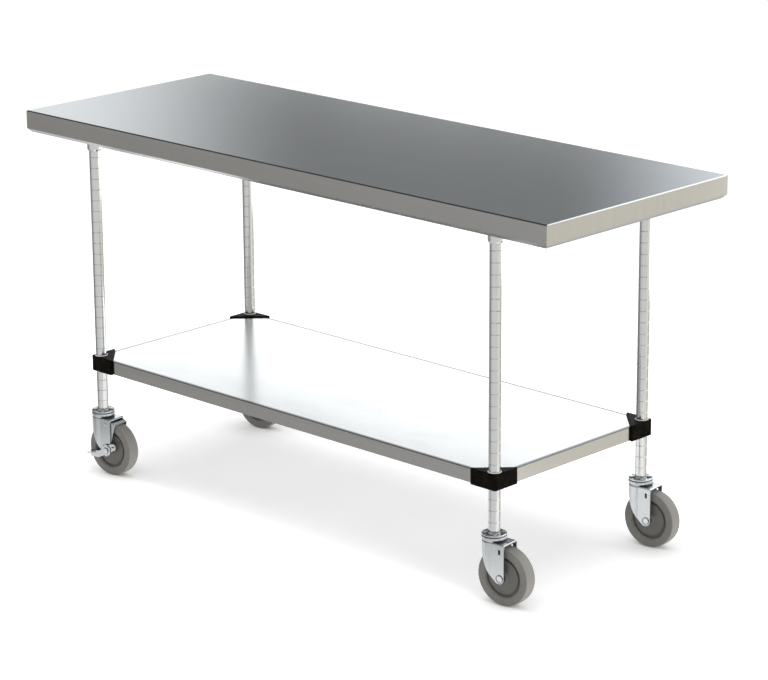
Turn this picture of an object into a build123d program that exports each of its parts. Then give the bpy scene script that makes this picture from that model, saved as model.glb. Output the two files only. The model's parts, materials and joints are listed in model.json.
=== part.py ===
from build123d import *
import os
from math import sqrt

# Mobile stainless work table. Millimetres, +Z up, floor at z = 0, origin under the middle of
# the top. X runs along the table and the front is -Y. Every height below is above the floor.

# Worktop: one folded sheet
TABLE_HEIGHT = 851.0
TOP_LENGTH = 1590.0
TOP_WIDTH = 580.0
TOP_SHEET = 1.9
TOP_EDGE_RADIUS = 3.0
APRON_DROP = 42.4
HEM_DROP = 8.4
SEAM_WIDTH = 0.4

# Grooved posts
POST_X = 616.5
POST_Y = 240.25
POST_RADIUS = 12.7
POST_WALL = 1.6
POST_BOTTOM = 155.5
GROOVE_PITCH = 25.4
FIRST_GROOVE = 176.1
GROOVE_DEPTH = 0.5
GROOVE_HALF_WIDTH = 0.9
SLIP = 0.05

# Structure under the worktop
HAT_SHEET = 2.0
CROSS_HAT_WIDTH = 70.0
CROSS_HAT_LENGTH = 540.0
HAT_FLANGE = 10.0
HAT_DEPTH = 30.0
STIFFENER_WIDTH = 40.0
STIFFENER_Y = 150.0
FLANGE_SIDE = 70.0
FLANGE_THICKNESS = 4.0
FLANGE_BOLT_SPACING = 50.0
COLLAR_RADIUS = 16.5
COLLAR_BOTTOM = 775.7

# Shelf
SHELF_TOP = 282.2
SHELF_APRON = 31.2
SHELF_OFFSET = 11.5
SHELF_SHEET = 1.2
SHELF_EDGE_RADIUS = 2.0
SHELF_RETURN = 10.0
SHELF_HAT_WIDTH = 40.0
SHELF_HAT_LENGTH = 1120.0
SHELF_HAT_DEPTH = 25.0

# Corner brackets and the wedge sleeves that they sit on
BRACKET_TOP = 285.4
BRACKET_BOTTOM = 249.2
BRACKET_FACE = 17.0
BRACKET_LEG = 75.0
BRACKET_SCREW_OFFSET = 20.0
SLEEVE_TOP_RADIUS = 15.0
SLEEVE_BOTTOM_RADIUS = 15.6
SLEEVE_RIM = 1.6
SLEEVE_TAIL = 1.2
SLEEVE_SLIT = 1.0

# Casters, drawn about the post's axis and trailing along +X
CASTER_TURN = 6.0
WHEEL_RADIUS = 63.5
TREAD_HALF_WIDTH = 15.9
TRAIL = 32.0
AXLE_RADIUS = 4.0
FORK_HALF_WIDTH = 24.3
FORK_SHEET = 3.0
CROWN_RADIUS = 26.3
CROWN_TOP = 137.5
CROWN_REAR = 41.5
DOME_TOP = 146.9
DOME_RADIUS = 27.0
DISC_BOTTOM = 149.0
DISC_RADIUS = 27.0
RACE_RADIUS = 15.0
BALL_RADIUS = 3.0
BALL_HEIGHT = 146.0
BALL_COUNT = 14
KING_PIN_RADIUS = 8.0
STEM_RADIUS = 6.35
STEM_TOP = 198.0
LEG_RECESS = 1.0
LEG_RECESS_RADIUS = 9.5
TYRE_SEAT_RADIUS = 44.0
BUSH_RADIUS = 6.0

# Foot brake
RIVET_X = 28.0
RIVET_Z = 124.0
RIVET_RADIUS = 2.5
RIVET_HEAD = 1.4
BRAKE_SHEET = 2.0
BRAKE_GAP = 0.4
DRIVE_PIN_RADIUS = 2.0
DRIVE_PIN_OFFSET = 11.0
PEDAL_HUB_THICKNESS = 4.9
PEDAL_ARM_THICKNESS = 3.0

APRON_BOTTOM = TABLE_HEIGHT - APRON_DROP
HEM_BOTTOM = APRON_BOTTOM - HEM_DROP
UNDER_TOP = TABLE_HEIGHT - TOP_SHEET
FLANGE_TOP = UNDER_TOP - HAT_DEPTH
POST_TOP = FLANGE_TOP - FLANGE_THICKNESS
SHELF_BOTTOM = SHELF_TOP - SHELF_APRON
CORNER_PLANE = BRACKET_LEG - 2 * BRACKET_FACE
CROWN_UNDER = CROWN_TOP - FORK_SHEET
SLEEVE_GROOVE = FIRST_GROOVE + 4 * GROOVE_PITCH
SCREW_GROOVE = FIRST_GROOVE + 24 * GROOVE_PITCH
LEG_INSIDE = FORK_HALF_WIDTH - FORK_SHEET
BOLT_SEAT = FORK_HALF_WIDTH - LEG_RECESS
PLATE_OUTSIDE = LEG_INSIDE - BRAKE_GAP
PLATE_INSIDE = PLATE_OUTSIDE - BRAKE_SHEET
PEDAL_INSIDE = FORK_HALF_WIDTH + 0.1
PEDAL_OUTSIDE = PEDAL_INSIDE + PEDAL_HUB_THICKNESS

# Each corner: side along X, side along Y, and the turn that brings the front left corner there
CORNERS = {
    "front_left": (-1, -1, 0),
    "front_right": (1, -1, 90),
    "rear_right": (1, 1, 180),
    "rear_left": (-1, 1, 270),
}
BRAKED = ("front_left", "rear_left")
POST_CENTRES = [(x * POST_X, y * POST_Y) for x, y, _ in CORNERS.values()]
UP_FROM_BOTTOM = (Align.CENTER, Align.CENTER, Align.MIN)


def save(piece, name):
    piece.label = name
    export_step(piece, f"parts/{name}.step")


def corner_place(name):
    side_x, side_y, turn = CORNERS[name]
    return Location((side_x * POST_X, side_y * POST_Y, 0), (0, 0, turn))


def caster_place(name):
    side_x, side_y, _ = CORNERS[name]
    return Location((side_x * POST_X, side_y * POST_Y, 0), (0, 0, CASTER_TURN))


def axle_plane():
    """Plane through the axle, with its own x along the axle and its own y outwards."""
    return Plane(origin=(TRAIL, 0, WHEEL_RADIUS), x_dir=(0, 1, 0), z_dir=(1, 0, 0))


def axle_axis():
    return Axis((TRAIL, 0, WHEEL_RADIUS), (0, 1, 0))


def side_plane(y):
    """Vertical plane at y: its own x is along the table and its own y is the height."""
    return Plane(origin=(0, y, 0), x_dir=(1, 0, 0), z_dir=(0, -1, 0))


def hat_outline(width, flange, depth, sheet):
    """Corners of a hat section, open at the top, with its flanges' upper face at height 0."""
    half = width / 2
    right = [(half, -depth), (half, -sheet), (half + flange, -sheet), (half + flange, 0)]
    right += [(half - sheet, 0), (half - sheet, sheet - depth)]
    return right + [(-x, y) for x, y in reversed(right)]


# ---------------------------------------------------------------- table frame


def worktop_pan():
    inner_length = TOP_LENGTH - 2 * TOP_SHEET
    inner_width = TOP_WIDTH - 2 * TOP_SHEET
    hem_inner_top = APRON_BOTTOM + TOP_SHEET * (sqrt(2) - 1)
    with BuildPart() as pan:
        with BuildSketch(Plane.XY.offset(APRON_BOTTOM)):
            Rectangle(TOP_LENGTH, TOP_WIDTH)
        extrude(amount=APRON_DROP)
        fillet(pan.faces().sort_by(Axis.Z)[-1].edges(), TOP_EDGE_RADIUS)
        with BuildSketch(Plane.XY.offset(APRON_BOTTOM)):
            Rectangle(TOP_LENGTH, TOP_WIDTH)
        extrude(amount=-HEM_DROP, taper=45)
        with BuildSketch(Plane.XY.offset(hem_inner_top)):
            Rectangle(inner_length, inner_width)
        extrude(amount=UNDER_TOP - hem_inner_top, mode=Mode.SUBTRACT)
        with BuildSketch(Plane.XY.offset(hem_inner_top)):
            Rectangle(inner_length, inner_width)
        extrude(amount=HEM_BOTTOM - hem_inner_top, taper=45, mode=Mode.SUBTRACT)
        # mitre seams where the hems of neighbouring aprons meet
        for side_x, side_y, turn in CORNERS.values():
            corner = (side_x * TOP_LENGTH / 2, side_y * TOP_WIDTH / 2, HEM_BOTTOM)
            with Locations(Location(corner, (0, 0, turn + 45))):
                Box(60, SEAM_WIDTH, 2 * HEM_DROP - 1, mode=Mode.SUBTRACT)
    return pan.part


def cross_channel(side_x):
    """Hat channel across the table, over one pair of posts, drilled for the socket bolts."""
    plane = Plane(origin=(side_x * POST_X, 0, UNDER_TOP), x_dir=(1, 0, 0), z_dir=(0, -1, 0))
    with BuildPart() as channel:
        with BuildSketch(plane):
            with BuildLine():
                Polyline(*hat_outline(CROSS_HAT_WIDTH, HAT_FLANGE, HAT_DEPTH, HAT_SHEET), close=True)
            make_face()
        extrude(amount=CROSS_HAT_LENGTH / 2, both=True)
        with BuildSketch(Plane.XY.offset(FLANGE_TOP)):
            with Locations((side_x * POST_X, -POST_Y), (side_x * POST_X, POST_Y)):
                with GridLocations(FLANGE_BOLT_SPACING, FLANGE_BOLT_SPACING, 2, 2):
                    Circle(3.1)
        extrude(amount=HAT_SHEET, mode=Mode.SUBTRACT)
    return channel.part


def top_stiffener(y):
    """Hat channel along the table, between the two cross channels."""
    length = 2 * (POST_X - CROSS_HAT_WIDTH / 2 - HAT_FLANGE)
    plane = Plane(origin=(0, y, UNDER_TOP), x_dir=(0, 1, 0), z_dir=(1, 0, 0))
    with BuildPart() as stiffener:
        with BuildSketch(plane):
            with BuildLine():
                Polyline(*hat_outline(STIFFENER_WIDTH, HAT_FLANGE, HAT_DEPTH, HAT_SHEET), close=True)
            make_face()
        extrude(amount=length / 2, both=True)
    return stiffener.part


def post_socket():
    """Flange that bolts to the cross channel, with the collar that holds the post's top."""
    with BuildPart() as socket:
        with BuildSketch(Plane.XY.offset(POST_TOP)):
            RectangleRounded(FLANGE_SIDE, FLANGE_SIDE, 8)
            with GridLocations(FLANGE_BOLT_SPACING, FLANGE_BOLT_SPACING, 2, 2):
                Circle(3.1, mode=Mode.SUBTRACT)
        extrude(amount=FLANGE_THICKNESS)
        with BuildSketch(Plane.XY.offset(COLLAR_BOTTOM)):
            Circle(COLLAR_RADIUS)
        extrude(amount=POST_TOP - COLLAR_BOTTOM)
        chamfer(socket.edges().filter_by(GeomType.CIRCLE).sort_by(Axis.Z)[0], 4, 2)
        with BuildSketch(Plane.XY.offset(COLLAR_BOTTOM)):
            Circle(POST_RADIUS + SLIP)
        extrude(amount=POST_TOP - COLLAR_BOTTOM, mode=Mode.SUBTRACT)
        with BuildSketch(Plane(origin=(0, 0, SCREW_GROOVE), x_dir=(1, 0, 0), z_dir=(0, 1, 0))):
            Circle(3.0)
        extrude(amount=COLLAR_RADIUS + 1, mode=Mode.SUBTRACT)
    return socket.part


def socket_bolt():
    """Hex bolt up through socket flange and channel, with its nut, as two solids."""
    with BuildPart() as bolt:
        with BuildSketch(Plane.XY.offset(POST_TOP - 4)):
            RegularPolygon(radius=5, side_count=6, major_radius=False)
        extrude(amount=4)
        with BuildSketch(Plane.XY.offset(POST_TOP)):
            Circle(2.95)
        extrude(amount=FLANGE_THICKNESS + HAT_SHEET + 7)
        with BuildSketch(Plane.XY.offset(FLANGE_TOP + HAT_SHEET)):
            RegularPolygon(radius=5, side_count=6, major_radius=False)
            Circle(3.0, mode=Mode.SUBTRACT)
        extrude(amount=5)
    return bolt.part


def socket_bolts():
    bolt = socket_bolt()
    with BuildPart() as bolts:
        with Locations(*POST_CENTRES):
            with GridLocations(FLANGE_BOLT_SPACING, FLANGE_BOLT_SPACING, 2, 2):
                add(bolt)
    return bolts.part


def socket_set_screws():
    """One headless screw through each collar, in line with a groove of the post."""
    tip = POST_RADIUS + SLIP
    end = COLLAR_RADIUS + 0.6
    with BuildPart() as screw:
        with BuildSketch(Plane(origin=(0, tip, SCREW_GROOVE), x_dir=(1, 0, 0), z_dir=(0, 1, 0))):
            Circle(2.95)
        extrude(amount=end - tip)
        with BuildSketch(Plane(origin=(0, end, SCREW_GROOVE), x_dir=(1, 0, 0), z_dir=(0, 1, 0))):
            RegularPolygon(radius=1.5, side_count=6, major_radius=False)
        extrude(amount=-2, mode=Mode.SUBTRACT)
    with BuildPart() as screws:
        with Locations(*POST_CENTRES):
            add(screw.part)
    return screws.part


def grooved_post():
    """Tube with a ring groove every GROOVE_PITCH, open at both ends."""
    outline = [(POST_RADIUS - POST_WALL, POST_BOTTOM), (POST_RADIUS, POST_BOTTOM)]
    height = FIRST_GROOVE
    while height + GROOVE_HALF_WIDTH < POST_TOP:
        outline.append((POST_RADIUS, height - GROOVE_HALF_WIDTH))
        outline.append((POST_RADIUS - GROOVE_DEPTH, height - GROOVE_HALF_WIDTH / 3))
        outline.append((POST_RADIUS - GROOVE_DEPTH, height + GROOVE_HALF_WIDTH / 3))
        outline.append((POST_RADIUS, height + GROOVE_HALF_WIDTH))
        height += GROOVE_PITCH
    outline += [(POST_RADIUS, POST_TOP), (POST_RADIUS - POST_WALL, POST_TOP)]
    with BuildPart() as post:
        with BuildSketch(side_plane(0)):
            with BuildLine():
                Polyline(*outline, close=True)
            make_face()
        revolve(axis=Axis.Z)
    return post.part


def split_sleeve():
    """Tapered sleeve in two halves, with an inner bead that sits in one groove of the post."""
    inner = POST_RADIUS + SLIP
    slope = (SLEEVE_BOTTOM_RADIUS - SLEEVE_TOP_RADIUS) / (BRACKET_TOP - BRACKET_BOTTOM)
    top = BRACKET_TOP + SLEEVE_RIM
    bottom = BRACKET_BOTTOM - SLEEVE_TAIL
    bead = GROOVE_HALF_WIDTH - 0.15
    with BuildPart() as sleeve:
        with BuildSketch(side_plane(0)):
            with BuildLine():
                Polyline(
                    (inner, bottom),
                    (SLEEVE_BOTTOM_RADIUS + slope * SLEEVE_TAIL, bottom),
                    (SLEEVE_TOP_RADIUS, BRACKET_TOP),
                    (SLEEVE_TOP_RADIUS - 0.1, top - 0.5),
                    (SLEEVE_TOP_RADIUS - 0.6, top),
                    (inner, top),
                    (inner, SLEEVE_GROOVE + bead),
                    (POST_RADIUS - GROOVE_DEPTH + 0.1, SLEEVE_GROOVE + bead / 3),
                    (POST_RADIUS - GROOVE_DEPTH + 0.1, SLEEVE_GROOVE - bead / 3),
                    (inner, SLEEVE_GROOVE - bead),
                    close=True,
                )
            make_face()
        revolve(axis=Axis.Z)
        with Locations((0, 0, bottom)):
            Box(4 * SLEEVE_TOP_RADIUS, SLEEVE_SLIT, top - bottom, align=UP_FROM_BOTTOM, mode=Mode.SUBTRACT)
    return sleeve.part


def split_sleeves():
    sleeve = split_sleeve()
    with BuildPart() as sleeves:
        with Locations(*[corner_place(name) for name in CORNERS]):
            add(sleeve)
    return sleeves.part


def post_inserts():
    """Threaded inserts in the posts' lower ends, each taking one caster stem."""
    with BuildPart() as inserts:
        with BuildSketch(Plane.XY.offset(POST_BOTTOM)):
            with Locations(*POST_CENTRES):
                Circle(POST_RADIUS - POST_WALL - SLIP)
                Circle(STEM_RADIUS + SLIP, mode=Mode.SUBTRACT)
        extrude(amount=STEM_TOP - POST_BOTTOM)
    return inserts.part


def disc_rib(bottom, top):
    """One rounded rib pressed up out of the stem's disc."""
    with BuildPart() as rib:
        with BuildSketch(Plane.XY.offset(bottom)):
            RectangleRounded(11, 8.5, 3)
        extrude(amount=top - bottom)
        fillet(rib.faces().sort_by(Axis.Z)[-1].edges(), 1.5)
    return rib.part


def caster_stem():
    """Threaded stem, raised and drilled disc, upper ball race and riveted king pin."""
    disc_top = DISC_BOTTOM + 3.0
    race_face = BALL_HEIGHT + 1.0
    rib = disc_rib(disc_top - 0.5, POST_BOTTOM - 0.4)
    with BuildPart() as stem:
        with BuildSketch(side_plane(0)):
            with BuildLine():
                Polyline(
                    (0, CROWN_UNDER - 4.1),
                    (10.5, CROWN_UNDER - 4.1),
                    (12, CROWN_UNDER - 2.6),
                    (12, CROWN_UNDER - 0.1),
                    (KING_PIN_RADIUS, CROWN_UNDER - 0.1),
                    (KING_PIN_RADIUS, race_face),
                    (18.8, race_face),
                    (18.8, DISC_BOTTOM),
                    (DISC_RADIUS - 0.6, DISC_BOTTOM),
                    (DISC_RADIUS, DISC_BOTTOM + 0.6),
                    (DISC_RADIUS, disc_top - 0.4),
                    (DISC_RADIUS - 1.0, disc_top + 0.6),
                    (DISC_RADIUS - 2.4, disc_top),
                    (15.5, disc_top),
                    (14.5, POST_BOTTOM),
                    (STEM_RADIUS, POST_BOTTOM),
                    (STEM_RADIUS, STEM_TOP - 1),
                    (STEM_RADIUS - 1, STEM_TOP),
                    (0, STEM_TOP),
                    close=True,
                )
            make_face()
        revolve(axis=Axis.Z)
        with Locations((0, 0, BALL_HEIGHT)):
            Torus(RACE_RADIUS, BALL_RADIUS + SLIP, mode=Mode.SUBTRACT)
        # four raised ribs between four round holes
        with PolarLocations(18.8, 4, start_angle=45):
            add(rib)
        with BuildSketch(Plane.XY.offset(DISC_BOTTOM)):
            with PolarLocations(21.5, 4):
                Circle(2.5)
        extrude(amount=disc_top - DISC_BOTTOM, mode=Mode.SUBTRACT)
    return stem.part


# ---------------------------------------------------------------- shelf


def shelf_outline():
    """Shelf seen from above: a rectangle whose corners are cut square to the diagonal."""
    half_x = POST_X + SHELF_OFFSET
    half_y = POST_Y + SHELF_OFFSET
    cut = CORNER_PLANE + 2 * SHELF_OFFSET
    right = [(half_x, half_y - cut), (half_x - cut, half_y)]
    quarter = right + [(-x, y) for x, y in reversed(right)]
    return quarter + [(-x, -y) for x, y in quarter]


def shelf_pan():
    with BuildPart() as pan:
        with BuildSketch(Plane.XY.offset(SHELF_BOTTOM)):
            Polygon(*shelf_outline(), align=None)
        extrude(amount=SHELF_APRON)
        fillet(pan.faces().sort_by(Axis.Z)[-1].edges(), SHELF_EDGE_RADIUS)
        with BuildSketch(Plane.XY.offset(SHELF_BOTTOM + SHELF_SHEET)):
            Polygon(*shelf_outline(), align=None)
            offset(amount=-SHELF_SHEET, kind=Kind.INTERSECTION)
        extrude(amount=SHELF_APRON - 2 * SHELF_SHEET, mode=Mode.SUBTRACT)
        with BuildSketch(Plane.XY.offset(SHELF_BOTTOM)):
            Polygon(*shelf_outline(), align=None)
            offset(amount=-SHELF_RETURN, kind=Kind.INTERSECTION)
        extrude(amount=SHELF_SHEET, mode=Mode.SUBTRACT)
        for name in CORNERS:
            with Locations(corner_place(name) * bracket_screw_plane().location):
                with Locations((-BRACKET_SCREW_OFFSET, 0), (BRACKET_SCREW_OFFSET, 0)):
                    Cylinder(2.1, 3 * SHELF_SHEET, mode=Mode.SUBTRACT)
    return pan.part


def shelf_stiffener():
    outline = hat_outline(SHELF_HAT_WIDTH, HAT_FLANGE, SHELF_HAT_DEPTH, SHELF_SHEET)
    plane = Plane(origin=(0, 0, SHELF_TOP - SHELF_SHEET), x_dir=(0, 1, 0), z_dir=(1, 0, 0))
    with BuildPart() as stiffener:
        with BuildSketch(plane):
            Polygon(*outline, align=None)
        extrude(amount=SHELF_HAT_LENGTH / 2, both=True)
    return stiffener.part


def bracket_screw_plane():
    """Back face of the front left bracket, with its normal towards the post."""
    middle = CORNER_PLANE / 2
    height = (BRACKET_TOP + BRACKET_BOTTOM) / 2
    return Plane(origin=(middle, middle, height), x_dir=(1, -1, 0), z_dir=(-1, -1, 0))


def corner_bracket():
    """Three-cornered moulding round the front left post, its long face against the shelf."""
    face = -BRACKET_FACE
    tip = BRACKET_LEG - BRACKET_FACE
    slope = (SLEEVE_BOTTOM_RADIUS - SLEEVE_TOP_RADIUS) / (BRACKET_TOP - BRACKET_BOTTOM)
    with BuildPart() as bracket:
        with BuildSketch(Plane.XY.offset(BRACKET_BOTTOM)) as outline:
            Polygon((face, face), (tip, face), (face, tip), align=None)
            corners = outline.vertices().sort_by_distance((face, face))
            fillet(corners[0], 7)
            fillet(outline.vertices().filter_by(lambda v: v.X > CORNER_PLANE or v.Y > CORNER_PLANE), 3)
        extrude(amount=BRACKET_TOP - BRACKET_BOTTOM)
        fillet(bracket.faces().sort_by(Axis.Z)[-1].edges(), 1.8)
        fillet(bracket.faces().sort_by(Axis.Z)[0].edges(), 1.2)
        # moulding pockets from below, one in each arm
        with BuildSketch(Plane.XY.offset(BRACKET_BOTTOM)):
            Polygon((24, -13.5), (44, -13.5), (30, 0.5), (24, 0.5), align=None)
            Polygon((-13.5, 24), (-13.5, 44), (0.5, 30), (0.5, 24), align=None)
        extrude(amount=12, mode=Mode.SUBTRACT)
        with Locations((0, 0, BRACKET_BOTTOM)):
            Cone(
                SLEEVE_BOTTOM_RADIUS + SLIP,
                SLEEVE_TOP_RADIUS + SLIP,
                BRACKET_TOP - BRACKET_BOTTOM,
                align=UP_FROM_BOTTOM,
                mode=Mode.SUBTRACT,
            )
        with BuildSketch(bracket_screw_plane()):
            with Locations((-BRACKET_SCREW_OFFSET, 0), (BRACKET_SCREW_OFFSET, 0)):
                Circle(2.0 + SLIP)
        extrude(amount=14, mode=Mode.SUBTRACT)
    return bracket.part


def bracket_screws():
    """Pan-head screws from inside the shelf into the brackets, two to a corner."""
    inside = bracket_screw_plane().offset(-SHELF_SHEET)
    with BuildPart() as pair:
        with BuildSketch(inside):
            with Locations((-BRACKET_SCREW_OFFSET, 0), (BRACKET_SCREW_OFFSET, 0)):
                Circle(4)
        extrude(amount=-2.4)
        with BuildSketch(inside):
            with Locations((-BRACKET_SCREW_OFFSET, 0), (BRACKET_SCREW_OFFSET, 0)):
                Circle(2.0)
        extrude(amount=14)
    with BuildPart() as screws:
        with Locations(*[corner_place(name) for name in CORNERS]):
            add(pair.part)
    return screws.part


# ---------------------------------------------------------------- casters


def fork(braked):
    """Pressed fork: crown plate, two legs that follow the crown's curve in front, raceway dome."""
    leg_foot = 45.0
    race_face = BALL_HEIGHT - 1.0
    with BuildPart() as body:
        with BuildSketch(Plane.XY.offset(leg_foot)):
            Circle(CROWN_RADIUS)
            Rectangle(CROWN_REAR, 2 * FORK_HALF_WIDTH, align=(Align.MIN, Align.CENTER))
        extrude(amount=CROWN_TOP - leg_foot)
        fillet(body.faces().sort_by(Axis.Z)[-1].edges(), 2.6)
        with BuildSketch(Plane.XY.offset(leg_foot)):
            Circle(CROWN_RADIUS - FORK_SHEET)
            Rectangle(2 * CROWN_REAR, 2 * LEG_INSIDE, align=(Align.MIN, Align.CENTER))
        extrude(amount=CROWN_UNDER - leg_foot, mode=Mode.SUBTRACT)
        # seen from the side: swept front edge, straight rear edge and round foot below the crown
        with BuildSketch(side_plane(0)):
            with BuildLine():
                Line((-CROWN_RADIUS - 1, CROWN_TOP), (CROWN_REAR, CROWN_TOP))
                Line((CROWN_REAR, CROWN_TOP), (CROWN_REAR, 61))
                ThreePointArc((CROWN_REAR, 61), (31, 50.8), (18.6, 55.5))
                Spline((18.6, 55.5), (11, 62), (0.5, 75), (-9.5, 93), (-16, 113), (-20, CROWN_UNDER - 1))
                Line((-20, CROWN_UNDER - 1), (-CROWN_RADIUS - 1, CROWN_UNDER - 1))
                Line((-CROWN_RADIUS - 1, CROWN_UNDER - 1), (-CROWN_RADIUS - 1, CROWN_TOP))
            make_face()
        extrude(amount=CROWN_RADIUS + 1, both=True, mode=Mode.INTERSECT)
        # raceway dome on the crown
        with BuildSketch(side_plane(0)):
            with BuildLine():
                Polyline(
                    (KING_PIN_RADIUS + SLIP, CROWN_UNDER),
                    (DOME_RADIUS - 3, CROWN_UNDER),
                    (DOME_RADIUS - 2.2, CROWN_TOP),
                    (DOME_RADIUS - 1.5, CROWN_TOP + 2),
                    (DOME_RADIUS, DOME_TOP - 4.9),
                    (DOME_RADIUS, DOME_TOP - 0.5),
                    (DOME_RADIUS - 0.5, DOME_TOP),
                    (19.3, DOME_TOP),
                    (19.3, race_face),
                    (KING_PIN_RADIUS + SLIP, race_face),
                    close=True,
                )
            make_face()
        revolve(axis=Axis.Z)
        with Locations((0, 0, CROWN_UNDER)):
            Cylinder(KING_PIN_RADIUS + SLIP, FORK_SHEET, align=UP_FROM_BOTTOM, mode=Mode.SUBTRACT)
        with Locations((0, 0, BALL_HEIGHT)):
            Torus(RACE_RADIUS, BALL_RADIUS + SLIP, mode=Mode.SUBTRACT)
        # stamped seats for the axle bolt and nut
        for side_y in (-1, 1):
            with BuildSketch(side_plane(side_y * FORK_HALF_WIDTH)):
                with Locations((TRAIL - 1, WHEEL_RADIUS - 1.5)):
                    Circle(LEG_RECESS_RADIUS)
            extrude(amount=side_y * LEG_RECESS, mode=Mode.SUBTRACT)
        with BuildSketch(side_plane(0)):
            with Locations((TRAIL, WHEEL_RADIUS)):
                Circle(AXLE_RADIUS + SLIP)
            with Locations((RIVET_X, RIVET_Z)):
                if braked:
                    Circle(RIVET_RADIUS + SLIP)
            with Locations((RIVET_X + 2, RIVET_Z - 3.2)):
                if not braked:
                    RectangleRounded(5.5, 11, 1)
        extrude(amount=CROWN_RADIUS + 1, both=True, mode=Mode.SUBTRACT)
        if braked:
            with BuildSketch(side_plane(-LEG_INSIDE)):
                with Locations((TRAIL - 1.4, WHEEL_RADIUS + DRIVE_PIN_OFFSET - 0.2)):
                    RectangleRounded(8, 5, 2)
            extrude(amount=FORK_SHEET, mode=Mode.SUBTRACT)
    return body.part


def swivel_seal():
    with BuildPart() as seal:
        with BuildSketch(Plane.XY.offset(DOME_TOP)):
            Circle(25.6)
            Circle(19.6, mode=Mode.SUBTRACT)
        extrude(amount=DISC_BOTTOM - DOME_TOP - SLIP)
    return seal.part


def swivel_balls():
    with BuildPart() as balls:
        with Locations((0, 0, BALL_HEIGHT)):
            with PolarLocations(RACE_RADIUS, BALL_COUNT):
                Sphere(BALL_RADIUS)
    return balls.part


def axle_fasteners(braked):
    """Axle bolt and nut. On a braked caster the bolt is longer, and two rivets hold the shoe."""
    head_seat = PEDAL_OUTSIDE + SLIP if braked else BOLT_SEAT
    head_height = 3.2
    nut_height = 6.5
    with BuildPart() as fasteners:
        with BuildSketch(side_plane(-head_seat)):
            with Locations((TRAIL, WHEEL_RADIUS)):
                RegularPolygon(radius=6.2, side_count=6, major_radius=False)
        extrude(amount=head_height)
        chamfer(fasteners.faces().sort_by(Axis.Y)[0].edges(), 0.9)
        with BuildSketch(side_plane(-head_seat)):
            with Locations((TRAIL, WHEEL_RADIUS)):
                Circle(AXLE_RADIUS)
        extrude(amount=-(head_seat + BOLT_SEAT + nut_height + 1.5))
        with BuildSketch(side_plane(BOLT_SEAT + nut_height)):
            with Locations((TRAIL, WHEEL_RADIUS)):
                RegularPolygon(radius=6.5, side_count=6, major_radius=False)
                Circle(AXLE_RADIUS + SLIP, mode=Mode.SUBTRACT)
        extrude(amount=nut_height)
        for side in (-1, 1) if braked else ():
            with BuildSketch(side_plane(side * (PLATE_INSIDE - 0.1 - RIVET_HEAD))):
                with Locations((RIVET_X, RIVET_Z)):
                    Circle(4)
            extrude(amount=-side * RIVET_HEAD)
            with BuildSketch(side_plane(side * (PLATE_INSIDE - 0.1))):
                with Locations((RIVET_X, RIVET_Z)):
                    Circle(RIVET_RADIUS)
            extrude(amount=-side * (FORK_HALF_WIDTH - PLATE_INSIDE + 0.1))
            with BuildSketch(side_plane(side * FORK_HALF_WIDTH)):
                with Locations((RIVET_X, RIVET_Z)):
                    Circle(4.5)
            extrude(amount=-side * RIVET_HEAD, taper=25)
    return fasteners.part


def tyre():
    with BuildPart() as ring:
        with BuildSketch(axle_plane()):
            with BuildLine():
                ThreePointArc((-13.6, 62.4), (0, WHEEL_RADIUS), (13.6, 62.4))
                ThreePointArc((13.6, 62.4), (15.2, 61.4), (TREAD_HALF_WIDTH, 59.4))
                Polyline((TREAD_HALF_WIDTH, 59.4), (15.3, 46), (13.6, 44.4), (12, TYRE_SEAT_RADIUS))
                Line((12, TYRE_SEAT_RADIUS), (-12, TYRE_SEAT_RADIUS))
                Polyline((-12, TYRE_SEAT_RADIUS), (-13.6, 44.4), (-15.3, 46), (-TREAD_HALF_WIDTH, 59.4))
                ThreePointArc((-TREAD_HALF_WIDTH, 59.4), (-15.2, 61.4), (-13.6, 62.4))
            make_face()
        revolve(axis=axle_axis())
    return ring.part


def wheel_hub():
    """Moulded wheel centre: rim under the tyre, ring groove, crowned disc and hub boss."""
    half = [(17, BUSH_RADIUS), (17, 11), (16, 12), (13.4, 14.5), (12.6, 24), (12, 36.6), (11, 37.8)]
    half += [(8.5, 38.4), (8.5, 41.6), (11, 42.6), (12, TYRE_SEAT_RADIUS)]
    with BuildPart() as hub:
        with BuildSketch(axle_plane()):
            with BuildLine():
                Polyline(*half, *[(-y, r) for y, r in reversed(half)], close=True)
            make_face()
        revolve(axis=axle_axis())
    return hub.part


def wheel_bearing():
    """Plain bush in the hub that turns on the axle bolt, between the fork's legs."""
    with BuildPart() as bearing:
        with BuildSketch(side_plane(0)):
            with Locations((TRAIL, WHEEL_RADIUS)):
                Circle(BUSH_RADIUS)
                Circle(AXLE_RADIUS + SLIP, mode=Mode.SUBTRACT)
        extrude(amount=LEG_INSIDE - 0.1, both=True)
    return bearing.part


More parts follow.
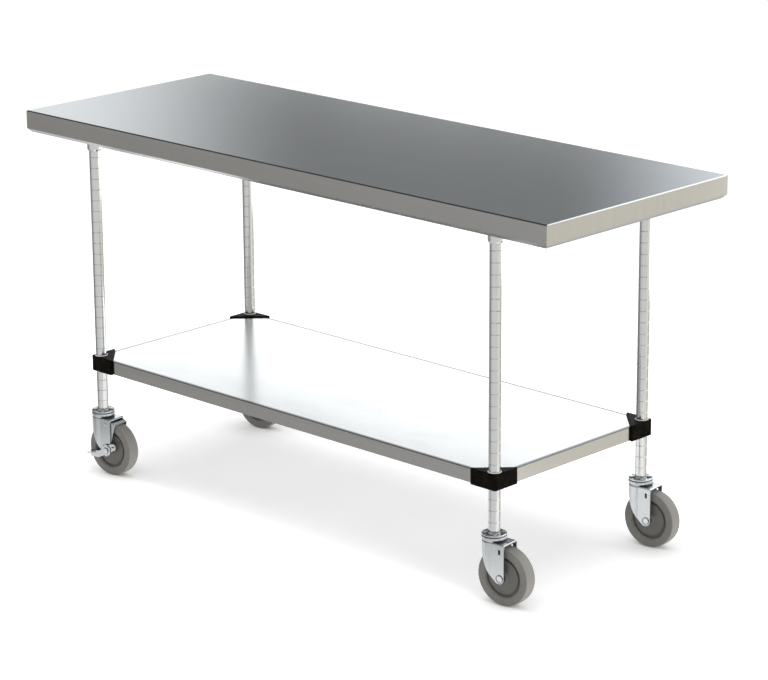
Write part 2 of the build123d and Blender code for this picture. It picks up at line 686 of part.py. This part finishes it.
def brake_shoe():
    """Bent sheet over the tread, with a plate inside each leg that turns on a rivet."""
    plate = [(23, 131), (46, 131), (54.6, 126.4), (54.2, 121.5), (52.3, 117.5), (46.8, 100.4)]
    plate += [(42.5, 82.4), (39.5, 71), (25, 71), (22, 84), (21, 110)]
    web = [(43, 129.1), (43, 131), (47, 130.4), (53.8, 126.1), (52.7, 125.25), (46, 129.1)]
    slot_width = 2 * DRIVE_PIN_RADIUS + 0.5
    slot_height = 2 * DRIVE_PIN_RADIUS + 1.6
    with BuildPart() as shoe:
        with BuildSketch(side_plane(PLATE_OUTSIDE)):
            Polygon(*web, align=None)
        extrude(amount=2 * PLATE_OUTSIDE)
        for y in (-PLATE_INSIDE, PLATE_OUTSIDE):
            with BuildSketch(side_plane(y)) as outline:
                Polygon(*plate, align=None)
                fillet(outline.vertices(), 1.5)
            extrude(amount=BRAKE_SHEET)
        with BuildSketch(side_plane(0)):
            with Locations((RIVET_X, RIVET_Z)):
                Circle(RIVET_RADIUS + SLIP)
            with Locations((TRAIL, WHEEL_RADIUS + DRIVE_PIN_OFFSET)):
                Rectangle(slot_width, slot_height)
        extrude(amount=2 * PLATE_OUTSIDE, both=True, mode=Mode.SUBTRACT)
    return shoe.part


def brake_pedal():
    """Rocking lever outside the near leg: star hub, foot tab in front, slotted release lobe behind."""
    arm = [(-50, -6.5), (-50, -22.5), (-27, -22.5), (-4, -12), (2, 10), (-25, -6)]
    lobe_neck = [(2, 12), (16, 18), (24, 6), (10, -7)]
    lobe_centre = (21, 11)
    tab_reach = 16.0
    with BuildPart() as pedal:
        with BuildSketch(side_plane(-PEDAL_INSIDE)):
            with Locations((TRAIL, WHEEL_RADIUS)):
                Circle(14)
                with PolarLocations(15.6, 6):
                    Circle(3.6, mode=Mode.SUBTRACT)
        extrude(amount=PEDAL_HUB_THICKNESS)
        with BuildSketch(side_plane(-PEDAL_INSIDE)):
            with Locations((TRAIL, WHEEL_RADIUS)):
                Polygon(*arm, align=None)
                Polygon(*lobe_neck, align=None)
                with Locations(lobe_centre):
                    Circle(8)
                    SlotOverall(10, 3, rotation=5, mode=Mode.SUBTRACT)
        extrude(amount=PEDAL_ARM_THICKNESS)
        with BuildSketch(Plane.XY.offset(WHEEL_RADIUS - 10.5)) as tab:
            with Locations((TRAIL - 43, -PEDAL_INSIDE - PEDAL_ARM_THICKNESS - tab_reach / 2 + 1)):
                Rectangle(14, tab_reach + 2)
            fillet(tab.vertices().group_by(Axis.Y)[0], 4)
        extrude(amount=2.5)
        with BuildSketch(side_plane(-BOLT_SEAT - SLIP)):
            with Locations((TRAIL, WHEEL_RADIUS)):
                Circle(6.8)
        extrude(amount=PEDAL_INSIDE - BOLT_SEAT - SLIP)
        with BuildSketch(side_plane(-PLATE_INSIDE)):
            with Locations((TRAIL, WHEEL_RADIUS + DRIVE_PIN_OFFSET)):
                Circle(DRIVE_PIN_RADIUS)
        extrude(amount=PEDAL_INSIDE - PLATE_INSIDE)
        with BuildSketch(side_plane(0)):
            with Locations((TRAIL, WHEEL_RADIUS)):
                Circle(AXLE_RADIUS + SLIP)
        extrude(amount=PEDAL_OUTSIDE, mode=Mode.SUBTRACT)
    return pedal.part


# ---------------------------------------------------------------- write the parts

os.makedirs("parts", exist_ok=True)

save(worktop_pan(), "worktop_pan")
save(cross_channel(-1), "left_cross_channel")
save(cross_channel(1), "right_cross_channel")
save(top_stiffener(-STIFFENER_Y), "front_stiffener")
save(top_stiffener(STIFFENER_Y), "rear_stiffener")
save(socket_bolts(), "socket_bolts")
save(socket_set_screws(), "socket_set_screws")
save(split_sleeves(), "split_sleeves")
save(post_inserts(), "post_inserts")
save(shelf_pan(), "shelf_pan")
save(shelf_stiffener(), "shelf_stiffener")
save(bracket_screws(), "bracket_screws")

socket = post_socket()
post = grooved_post()
stem = caster_stem()
bracket = corner_bracket()
for corner, (x_side, y_side, _) in CORNERS.items():
    over_post = Location((x_side * POST_X, y_side * POST_Y, 0))
    save(socket.moved(over_post), f"post_socket_{corner}")
    save(post.moved(over_post), f"post_{corner}")
    save(stem.moved(over_post), f"caster_stem_{corner}")
    save(bracket.moved(corner_place(corner)), f"corner_bracket_{corner}")

seal = swivel_seal()
balls = swivel_balls()
tyre_ring = tyre()
hub_disc = wheel_hub()
bush = wheel_bearing()
shoe_frame = brake_shoe()
pedal_lever = brake_pedal()
forks = {braked: fork(braked) for braked in (False, True)}
axle_sets = {braked: axle_fasteners(braked) for braked in (False, True)}
for corner in CORNERS:
    place = caster_place(corner)
    has_brake = corner in BRAKED
    save(forks[has_brake].moved(place), f"fork_{corner}")
    save(axle_sets[has_brake].moved(place), f"axle_fasteners_{corner}")
    save(seal.moved(place), f"swivel_seal_{corner}")
    save(balls.moved(place), f"swivel_balls_{corner}")
    save(tyre_ring.moved(place), f"tyre_{corner}")
    save(hub_disc.moved(place), f"wheel_hub_{corner}")
    save(bush.moved(place), f"wheel_bearing_{corner}")
    if has_brake:
        save(shoe_frame.moved(place), f"brake_shoe_{corner}")
        save(pedal_lever.moved(place), f"brake_pedal_{corner}")
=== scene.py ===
import json
import math

import bpy
from mathutils import Matrix, Vector


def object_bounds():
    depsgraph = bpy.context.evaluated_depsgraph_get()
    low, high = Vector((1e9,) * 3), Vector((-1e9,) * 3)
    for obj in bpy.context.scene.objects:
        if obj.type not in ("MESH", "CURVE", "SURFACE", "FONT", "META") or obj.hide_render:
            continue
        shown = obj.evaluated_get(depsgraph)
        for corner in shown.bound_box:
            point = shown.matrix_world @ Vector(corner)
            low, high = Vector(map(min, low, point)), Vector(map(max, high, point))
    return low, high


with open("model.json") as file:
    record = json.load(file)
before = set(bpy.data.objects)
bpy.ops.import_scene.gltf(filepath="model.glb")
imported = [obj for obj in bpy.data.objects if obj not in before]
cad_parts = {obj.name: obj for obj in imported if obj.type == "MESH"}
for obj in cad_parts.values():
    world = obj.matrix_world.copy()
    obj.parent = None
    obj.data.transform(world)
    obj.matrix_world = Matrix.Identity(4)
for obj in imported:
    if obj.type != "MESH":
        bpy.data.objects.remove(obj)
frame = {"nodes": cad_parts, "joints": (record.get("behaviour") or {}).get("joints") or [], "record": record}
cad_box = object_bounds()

NODES = frame["nodes"]
AXLE = next(Vector(joint["axis"]) for joint in frame["joints"] if joint["name"].startswith("roll_"))
LOW, HIGH = (Vector(corner) for corner in cad_box)
WHITE = (1.0, 1.0, 1.0)
scene = bpy.context.scene

# ------------------------------------------------------------------ camera
SENSOR_MM, LENS_MM = 36.0, 141.515625
FAR_CLIP = 100.0
CAMERA_AT = (4.5504, -4.6542, 2.3210)
CAMERA_YAW, CAMERA_PITCH, CAMERA_ROLL = (math.radians(a) for a in (43.909, 16.503, -0.348))

camera_data = bpy.data.cameras.new("camera")
camera_data.sensor_width = SENSOR_MM
camera_data.lens = LENS_MM
camera_data.clip_end = FAR_CLIP
camera = bpy.data.objects.new("camera", camera_data)
scene.collection.objects.link(camera)
camera.matrix_world = (
    Matrix.Translation(CAMERA_AT)
    @ Matrix.Rotation(CAMERA_YAW, 4, "Z")
    @ Matrix.Rotation(math.pi / 2 - CAMERA_PITCH, 4, "X")
    @ Matrix.Rotation(CAMERA_ROLL, 4, "Z")
)
scene.camera = camera
scene.view_settings.view_transform = "Standard"


# ------------------------------------------------------------------ node helpers
class Tree:
    """Short calls for building a shader tree. Inputs take sockets and plain values alike."""

    def __init__(self, tree):
        self.tree = tree
        tree.nodes.clear()

    def put(self, socket, value):
        """Link a socket or set its value. A colour is given without its alpha."""
        if isinstance(value, bpy.types.NodeSocket):
            self.tree.links.new(value, socket)
        elif socket.type == "RGBA":
            socket.default_value = (*value, 1.0)
        else:
            socket.default_value = value

    def fill(self, node, **inputs):
        """Set a node's inputs by name. An underscore stands for a space."""
        for key, value in inputs.items():
            self.put(node.inputs[key.replace("_", " ")], value)
        return node

    def add(self, kind, settings=None, **inputs):
        node = self.tree.nodes.new(kind)
        for key, value in (settings or {}).items():
            setattr(node, key, value)
        return self.fill(node, **inputs)

    def math(self, operation, a, b=0.0, c=0.0):
        node = self.add("ShaderNodeMath", {"operation": operation})
        for socket, value in zip(node.inputs, (a, b, c)):
            self.put(socket, value)
        return node.outputs[0]

    def vector_math(self, operation, a, b=(0, 0, 0)):
        node = self.add("ShaderNodeVectorMath", {"operation": operation})
        self.put(node.inputs[0], a)
        self.put(node.inputs[1], b)
        return node.outputs["Value" if operation in ("DOT_PRODUCT", "LENGTH") else "Vector"]

    def component(self, vector, letter):
        """X, Y or Z of a vector."""
        return self.add("ShaderNodeSeparateXYZ", Vector=vector).outputs[letter]

    def remap(self, value, low, high, to_low, to_high, smooth=False):
        """low..high to to_low..to_high, and flat past both ends."""
        settings = {"interpolation_type": "SMOOTHSTEP" if smooth else "LINEAR"}
        node = self.add("ShaderNodeMapRange", settings, Value=value)
        self.fill(node, From_Min=low, From_Max=high, To_Min=to_low, To_Max=to_high)
        return node.outputs["Result"]

    def blend(self, factor, a, b):
        """Colour a where factor is 0 and b where it is 1."""
        node = self.add("ShaderNodeMix", {"data_type": "RGBA"})
        self.put(node.inputs[0], factor)
        self.put(node.inputs[6], a)
        self.put(node.inputs[7], b)
        return node.outputs[2]

    def where(self, scale=(1, 1, 1)):
        """Position on the object, stretched by scale."""
        coordinate = self.add("ShaderNodeTexCoord").outputs["Object"]
        return self.add("ShaderNodeMapping", Vector=coordinate, Scale=scale).outputs["Vector"]

    def object_normal(self):
        """Normal of the surface in the object's own axes, which turn with it in a pose."""
        return self.add("ShaderNodeTexCoord").outputs["Normal"]

    def noise(self, where, scale, detail=3.0, roughness=0.55):
        node = self.add("ShaderNodeTexNoise", Vector=where, Scale=scale)
        return self.fill(node, Detail=detail, Roughness=roughness).outputs["Fac"]

    def bump(self, height, strength, distance):
        node = self.add("ShaderNodeBump", Height=height, Strength=strength, Distance=distance)
        return node.outputs["Normal"]

    def open_air(self, reach):
        """1 out in the open, towards 0 where other surfaces lie within reach."""
        return self.add("ShaderNodeAmbientOcclusion", {"samples": 8}, Distance=reach).outputs["AO"]


def new_material(name):
    """Material, its tree and its principled shader. tree.surface is the socket the shader feeds."""
    material = bpy.data.materials.new(name)
    material.use_nodes = True
    tree = Tree(material.node_tree)
    shader = tree.add("ShaderNodeBsdfPrincipled")
    tree.surface = tree.add("ShaderNodeOutputMaterial").inputs["Surface"]
    tree.put(tree.surface, shader.outputs[0])
    return material, tree, shader


def shade(color, share):
    """The colour times share, up to white."""
    return tuple(min(1.0, c * share) for c in color)


EDGE_SAMPLES = 6
FLAT_COSINE, EDGE_COSINE = 0.995, 0.8


def edge_wear(tree, radius):
    """1 on exposed edges and 0 on flat faces, from the angle between rounded and true normals."""
    bevel = tree.add("ShaderNodeBevel", {"samples": EDGE_SAMPLES}, Radius=radius)
    true_normal = tree.add("ShaderNodeNewGeometry").outputs["Normal"]
    agreement = tree.vector_math("DOT_PRODUCT", bevel.outputs["Normal"], true_normal)
    return tree.remap(agreement, FLAT_COSINE, EDGE_COSINE, 0.0, 1.0)


# ------------------------------------------------------------------ materials
SMEAR_GREY = (0.5, 0.5, 0.5)
PIN_SPOT = (0.2, 0.2, 0.2)
# painted shade: the colour the plating turns where other surfaces lie close
CREVICE_SHADE = (0.03, 0.03, 0.028)
CREVICE_SHADE_REACH = 0.007  # metres from a neighbouring surface within which painted shade darkens the plating
BRUSHED_DARK, BRUSHED_LIGHT = 0.95, 1.03  # shares of the sheet's colour between which it streaks
FOLD_SHADE = 0.22  # share of the sheet's colour left in the painted shade strip along a fold
ON_END = 0.7  # the normal of an end apron has more X than this
TURNED_UP = 0.2  # and the painted fold shade's normal more Z than this
PLATED_EDGE, POLYMER_EDGE = 0.0012, 0.0015  # metres from an edge within which it is rubbed
PLATED_RUB, POLYMER_RUB = 0.25, 0.45  # how much of the rubbed colour shows on an edge
RUBBED_BRIGHTER = 1.12
TURNING, TURNED = 0.25, 0.6  # how far a face turns from the eye before its painted grazing shade starts and is full
ON_SIDE, ON_TREAD = 0.75, 0.25  # how much a wheel's normal follows its axle on side and tread


def brushed_steel(name, color, roughness, grain=(3.0, 700.0, 700.0), rim=None):
    """Stainless sheet with long fine grain that turns down the end aprons, and a few wiped smears.

    rim is a node, the axes across whose outer edges the fold gets a strip of painted shade, and how wide
    that strip is.
    """
    material, tree, shader = new_material(name)
    facing = tree.component(tree.object_normal(), "X")
    on_end = tree.math("GREATER_THAN", tree.math("ABSOLUTE", facing), ON_END)

    def sheet_noise(share, detail, roughness_of_noise):
        """Noise stretched along the grain, which runs another way on the end aprons."""
        flat, end = (
            tree.noise(tree.where(shape), 1.0, detail, roughness_of_noise)
            for shape in (
                tuple(g * share for g in grain),
                tuple(g * share for g in (grain[1], grain[1], grain[0])),
            )
        )
        change = tree.math("SUBTRACT", end, flat)
        return tree.math("ADD", flat, tree.math("MULTIPLY", on_end, change))

    fine = sheet_noise(1.0, 4.0, 0.6)
    coarse = sheet_noise(0.18, 2.0, 0.55)
    cloud = tree.noise(tree.where((1.2, 3.0, 3.0)), 2.2, 3.0)
    smear = tree.noise(tree.where((5.0, 9.0, 9.0)), 1.3, 4.0, 0.7)
    brushing = tree.math("MULTIPLY", fine, 0.7)
    brushing = tree.math("ADD", brushing, tree.math("MULTIPLY", coarse, 0.3))
    streaks = tree.remap(brushing, 0.3, 0.7, 0.0, 1.0)
    base = tree.blend(streaks, shade(color, BRUSHED_DARK), shade(color, BRUSHED_LIGHT))
    base = tree.blend(tree.remap(cloud, 0.4, 0.75, 0.0, 0.06), base, SMEAR_GREY)
    # painted shade: a darker strip along the upturned fold at the sheet's outer edges
    if rim is not None:
        node_name, axes, width = rim
        fold_shade_mask = 0.0
        for letter in axes:
            reach = max(corner["XYZ".index(letter)] for corner in NODES[node_name].bound_box)
            across = tree.math("ABSOLUTE", tree.component(tree.where(), letter))
            edge = tree.remap(across, reach - width * 1.2, reach - width * 0.8, 0.0, 1.0)
            fold_shade_mask = tree.math("MAXIMUM", fold_shade_mask, edge)
        height = tree.component(tree.object_normal(), "Z")
        fold_shade_mask = tree.math("MULTIPLY", fold_shade_mask, tree.math("GREATER_THAN", height, TURNED_UP))
        base = tree.blend(fold_shade_mask, base, shade(color, FOLD_SHADE))
    grainy = tree.remap(brushing, 0.25, 0.75, roughness * 0.85, roughness * 1.15)
    rough = tree.math("ADD", grainy, tree.remap(smear, 0.5, 0.8, 0.0, 0.04))
    relief = tree.bump(brushing, 0.03, 0.0002)
    tree.fill(shader, Base_Color=base, Metallic=1.0, Roughness=rough, Normal=relief)
    return material


def plated(name, color, roughness, haze=(0.62, 0.6, 0.55), specks=0.12, grazing_shade=1.0):
    """Bright plating with a soft haze, pin spots, rubbed edges and painted shade in its corners and grooves.

    grazing is how much of its colour is left in the painted shade where it turns away from the eye.
    """
    material, tree, shader = new_material(name)
    cloud = tree.noise(tree.where(), 26.0, 4.0, 0.65)
    spots = tree.noise(tree.where(), 900.0, 2.0)
    base = tree.blend(tree.remap(cloud, 0.42, 0.75, 0.0, 0.5), color, haze)
    base = tree.blend(tree.remap(spots, 0.62, 0.8, 0.0, specks), base, PIN_SPOT)
    rubbed = tree.math("MULTIPLY", edge_wear(tree, PLATED_EDGE), PLATED_RUB)
    base = tree.blend(rubbed, base, shade(color, RUBBED_BRIGHTER))
    # painted shade: the colour darkens where the face turns away from the eye
    turned = tree.add("ShaderNodeLayerWeight", Blend=0.5).outputs["Facing"]
    turned = tree.remap(turned, TURNING, TURNED, 0.0, 1.0, smooth=True)
    base = tree.blend(turned, base, shade(color, grazing_shade))
    # painted shade: darker in corners and grooves, where other surfaces lie within reach
    crevice_shade = tree.remap(tree.open_air(CREVICE_SHADE_REACH), 0.88, 0.4, 0.0, 0.85)
    base = tree.blend(crevice_shade, base, CREVICE_SHADE)
    rough = tree.remap(cloud, 0.3, 0.75, roughness * 0.75, roughness * 1.45)
    relief = tree.bump(tree.noise(tree.where(), 160.0, 3.0), 0.06, 0.0006)
    tree.fill(shader, Base_Color=base, Metallic=1.0, Roughness=rough, Normal=relief)
    return material


def polymer(name, color, second, roughness, relief=0.25, specular=0.5, wear=None, lit_tread_color=None):
    """Moulded plastic mottled between two colours, with a fine texture.

    wear is the colour of its rubbed edges, and the last argument that of the tread, painted paler than the
    sides as painted light falling on it.
    """
    material, tree, shader = new_material(name)
    mottle = tree.noise(tree.where(), 70.0, 5.0, 0.7)
    grain = tree.noise(tree.where(), 1400.0, 3.0, 0.6)
    base = tree.blend(tree.remap(mottle, 0.38, 0.68, 0.0, 1.0), color, second)
    if wear is not None:
        rubbed = tree.math("MULTIPLY", edge_wear(tree, POLYMER_EDGE), POLYMER_RUB)
        base = tree.blend(rubbed, base, wear)
    # painted light: the tread, facing the light, paler than the wheel's sides
    if lit_tread_color is not None:
        sideways = tree.vector_math("DOT_PRODUCT", tree.object_normal(), AXLE)
        sideways = tree.math("ABSOLUTE", sideways)
        on_tread = tree.remap(sideways, ON_SIDE, ON_TREAD, 0.0, 0.9, smooth=True)
        base = tree.blend(on_tread, base, lit_tread_color)
    rough = tree.remap(grain, 0.3, 0.7, roughness * 0.85, min(1.0, roughness * 1.2))
    tree.fill(shader, Base_Color=base, Metallic=0.0, Roughness=rough, Specular_IOR_Level=specular,
              Normal=tree.bump(grain, relief, 0.0004))
    return material


# by material slot: how it is made, its colour, and what else that function takes
RECIPES = {
    "worktop_stainless": (brushed_steel, (0.63, 0.635, 0.63), dict(
        roughness=0.2, rim=("worktop_pan", "Y", 0.003))),
    "shelf_stainless": (brushed_steel, (0.65, 0.655, 0.65), dict(
        roughness=0.22, rim=("shelf_pan", "XY", 0.008))),
    "channel_steel": (brushed_steel, (0.5, 0.51, 0.52), dict(
        roughness=0.32, grain=(40.0, 40.0, 40.0))),
    "zinc_fastener": (plated, (0.72, 0.73, 0.75), dict(roughness=0.22)),
    "chromed_post": (plated, (0.83, 0.845, 0.835), dict(
        roughness=0.16, haze=(0.76, 0.77, 0.76), specks=0.05, grazing_shade=0.62)),
    "white_plastic": (polymer, (0.9, 0.9, 0.89), dict(
        second=(0.84, 0.845, 0.83), roughness=0.35, relief=0.08)),
    "black_plastic": (polymer, (0.001, 0.001, 0.001), dict(
        second=(0.012, 0.009, 0.005), roughness=0.5, specular=0.03, wear=(0.02, 0.017, 0.013))),
    "zinc_pressing": (plated, (0.64, 0.67, 0.69), dict(
        roughness=0.2, haze=(0.62, 0.63, 0.6), specks=0.08, grazing_shade=0.75)),
    "ball_steel": (plated, (0.75, 0.75, 0.75), dict(roughness=0.1)),
    "seal_plastic": (polymer, (0.05, 0.035, 0.055), dict(
        second=(0.09, 0.07, 0.095), roughness=0.45, relief=0.1)),
    "grey_tread": (polymer, (0.185, 0.176, 0.158), dict(
        second=(0.16, 0.152, 0.137), roughness=0.5, relief=0.15, wear=(0.27, 0.26, 0.235),
        lit_tread_color=(0.30, 0.288, 0.262))),
    "grey_core": (polymer, (0.118, 0.114, 0.102), dict(
        second=(0.1, 0.097, 0.087), roughness=0.42, relief=0.12, wear=(0.19, 0.183, 0.167))),
    "bush_brass": (plated, (0.7, 0.55, 0.3), dict(roughness=0.3, haze=(0.5, 0.38, 0.2))),
}
LOOKS = {slot: make(slot, color, **rest) for slot, (make, color, rest) in RECIPES.items()}

slot_of = {part["node"]: part["material_slot"] for part in frame["record"]["subparts"]}
for node_name, node in NODES.items():
    node.data.materials.clear()
    node.data.materials.append(LOOKS[slot_of[node_name]])


# ------------------------------------------------------------------ floor
FLOOR_REACH = 40.0
FLOOR_DARK, FLOOR_LIGHT = (0.86, 0.86, 0.86), (0.9, 0.9, 0.9)
GLOW_UNDER, GLOW_AROUND = 0.42, 0.66  # what the floor gives out under the table, lower there as a painted shadow, and around it
GLOW_RISE, GLOW_FALL = 0.02, 0.12  # more than that in the middle, less per metre towards the ends
END_FADE, SIDE_FADE = (-0.31, -0.02), (-0.17, 0.04)  # where that changes, metres past the edge
MIRRORED_UNDER, MIRRORED_AROUND = 0.6, 0.36  # what it gives out to gloss
CONTACT_SHADOW_REACH = 0.09  # metres around whatever stands on it within which it darkens as a painted contact shadow
GLOSS_FULL, GLOSS_GONE = 1.1, 2.4  # half-sizes of the table up to which gloss sees the floor


def floor_material():
    """White floor that glows less under the table, a painted shadow, and less near what stands on it, a
    painted contact shadow. Gloss sees only the part near the table.
    """
    material, tree, shader = new_material("pale_floor")
    base = tree.blend(tree.noise(tree.where(), 3.0, 4.0), FLOOR_DARK, FLOOR_LIGHT)

    def past(letter, half, fade):
        """How far the glow has changed across one axis, and the distance from the middle."""
        distance = tree.math("ABSOLUTE", tree.component(tree.where(), letter))
        return tree.remap(distance, half + fade[0], half + fade[1], 0.0, 1.0, smooth=True), distance

    # painted shadow: the glow dips over the table's footprint
    past_end, from_middle = past("X", HIGH.x, END_FADE)
    past_side, _ = past("Y", HIGH.y, SIDE_FADE)
    outside = tree.math("MAXIMUM", past_end, past_side)
    level = tree.math("MULTIPLY_ADD", from_middle, -GLOW_FALL, GLOW_UNDER + GLOW_RISE)
    rise = tree.math("SUBTRACT", GLOW_AROUND, level)
    glow = tree.math("MULTIPLY_ADD", outside, rise, level)
    mirrored = tree.remap(outside, 0.0, 1.0, MIRRORED_UNDER, MIRRORED_AROUND)
    glossy = tree.add("ShaderNodeLightPath").outputs["Is Glossy Ray"]
    glow = tree.math("MULTIPLY_ADD", glossy, tree.math("SUBTRACT", mirrored, glow), glow)
    # painted contact shadow: the glow darkens near whatever stands on the floor
    glow = tree.math("MULTIPLY", glow, tree.open_air(CONTACT_SHADOW_REACH))
    tree.fill(shader, Base_Color=base, Roughness=0.9, Specular_IOR_Level=0.1,
              Emission_Color=WHITE, Emission_Strength=glow)

    half_sizes = tree.where((2.0 / (HIGH.x - LOW.x), 2.0 / (HIGH.y - LOW.y), 0.0))
    away = tree.vector_math("LENGTH", half_sizes)
    away = tree.remap(away, GLOSS_FULL, GLOSS_GONE, 0.0, 1.0, smooth=True)
    mix = tree.add("ShaderNodeMixShader")
    clear = tree.add("ShaderNodeBsdfTransparent")
    tree.put(mix.inputs[0], tree.math("MULTIPLY", glossy, away))
    tree.put(mix.inputs[1], shader.outputs[0])
    tree.put(mix.inputs[2], clear.outputs[0])
    tree.put(tree.surface, mix.outputs[0])
    return material


def make_floor():
    mesh = bpy.data.meshes.new("floor")
    signs = [(-1, -1), (1, -1), (1, 1), (-1, 1)]
    corners = [(x * FLOOR_REACH, y * FLOOR_REACH, 0) for x, y in signs]
    mesh.from_pydata(corners, [], [(0, 1, 2, 3)])
    floor = bpy.data.objects.new("floor", mesh)
    floor.data.materials.append(floor_material())
    scene.collection.objects.link(floor)


make_floor()

# ------------------------------------------------------------------ surroundings
ROOM = (0.6, 0.6, 0.6)
WALLS = (
    # the middle of each wall, the cosines within which it is full and outside which it ends, colour
    ((0.69, -0.72, -0.28), 0.97, 0.3, (0.66, 0.67, 0.66)),  # what faces turned to the camera mirror
    ((0.70, 0.68, -0.28), 0.97, 0.45, (0.80, 0.76, 0.67)),  # what the right aprons mirror
    ((-0.83, -0.48, -0.28), 0.99, 0.86, (0.33, 0.32, 0.305)),  # what the front aprons mirror
    ((-0.69, 0.72, 0.3), 0.95, 0.6, (0.215, 0.225, 0.23)),  # what the top mirrors
    ((-0.665, -0.265, 0.671), 0.94, 0.72, (0.25, 0.25, 0.25)),  # what the top's front fold mirrors
    ((0.265, 0.69, 0.646), 0.94, 0.72, WHITE),  # what the top's right fold mirrors
)
SKY_LOW, SKY_HIGH, SKY_HIGH_AT = 0.45, 0.38, 0.9


def make_world():
    """White to the eye, a soft sky for diffuse light, a room of bright and dim walls for gloss."""
    world = bpy.data.worlds.new("studio")
    scene.world = world
    world.use_nodes = True
    tree = Tree(world.node_tree)
    direction = tree.add("ShaderNodeTexCoord").outputs["Generated"]
    room = ROOM
    for middle, full, end, color in WALLS:
        along = tree.vector_math("DOT_PRODUCT", direction, Vector(middle).normalized())
        room = tree.blend(tree.remap(along, end, full, 0.0, 1.0, smooth=True), room, color)
    height = tree.component(direction, "Z")
    sky = tree.remap(height, 0.0, SKY_HIGH_AT, SKY_LOW, SKY_HIGH)
    plain = tree.add("ShaderNodeCombineColor", Red=sky, Green=sky, Blue=sky).outputs["Color"]
    rays = tree.add("ShaderNodeLightPath")
    color = tree.blend(rays.outputs["Is Glossy Ray"], plain, room)
    color = tree.blend(rays.outputs["Is Camera Ray"], color, WHITE)
    background = tree.add("ShaderNodeBackground", Strength=1.0, Color=color)
    tree.add("ShaderNodeOutputWorld", Surface=background.outputs[0])


make_world()


def softbox(name, at, aim, size, radiance, diffuse=True, glossy=True, color=WHITE, fade=None):
    """Area light. fade is the two shares of its width between which it dims to nothing."""
    light = bpy.data.lights.new(name, "AREA")
    light.shape = "RECTANGLE"
    light.size, light.size_y = size
    light.energy = radiance * size[0] * size[1] * math.pi
    light.color = color
    if fade is not None:
        light.use_nodes = True
        tree = Tree(light.node_tree)
        place = tree.add("ShaderNodeNewGeometry").outputs["Parametric"]
        strength = tree.remap(tree.component(place, "X"), *fade, 1.0, 0.0, smooth=True)
        emission = tree.add("ShaderNodeEmission", Strength=strength)
        tree.add("ShaderNodeOutputLight", Surface=emission.outputs[0])
    lamp = bpy.data.objects.new(name, light)
    scene.collection.objects.link(lamp)
    lamp.location = at
    lamp.rotation_euler = (Vector(aim) - Vector(at)).to_track_quat("-Z", "Y").to_euler()
    lamp.visible_camera = False
    lamp.visible_diffuse = diffuse
    lamp.visible_glossy = glossy


for name, at, aim, size, radiance in (
    ("overhead", (-0.1, -0.1, 3.6), (0.0, 0.0, 0.0), (1.3, 0.9), 22.0),
    ("right_fill", (4.2, -0.6, 1.6), (0.6, 0.0, 0.1), (2.0, 1.6), 4.9),
    ("left_fill", (-2.6, -0.6, 1.1), (-0.6, 0.0, 0.1), (1.2, 1.0), 3.0),
):
    softbox(name, at, aim, size, radiance, glossy=False)

# upright panels behind the table that only its gloss sees: a low one for the shelf, two for the top
BEHIND = 1.15
for name, x, z, size, radiance, color, fade in (
    ("shelf_panel", -1.0, 0.665, (4.6, 0.71), 1.6, (0.96, 0.98, 1.0), None),
    ("left_panel", -2.5, 1.55, (2.6, 1.1), 0.86, (0.93, 0.97, 1.0), (0.48, 0.04)),
    ("right_panel", 0.6, 1.55, (2.6, 1.1), 0.96, (0.87, 0.93, 1.0), (0.577, 0.885)),
):
    at, aim = (x, BEHIND, z), (x, 0.0, z)
    softbox(name, at, aim, size, radiance, diffuse=False, color=color, fade=fade)
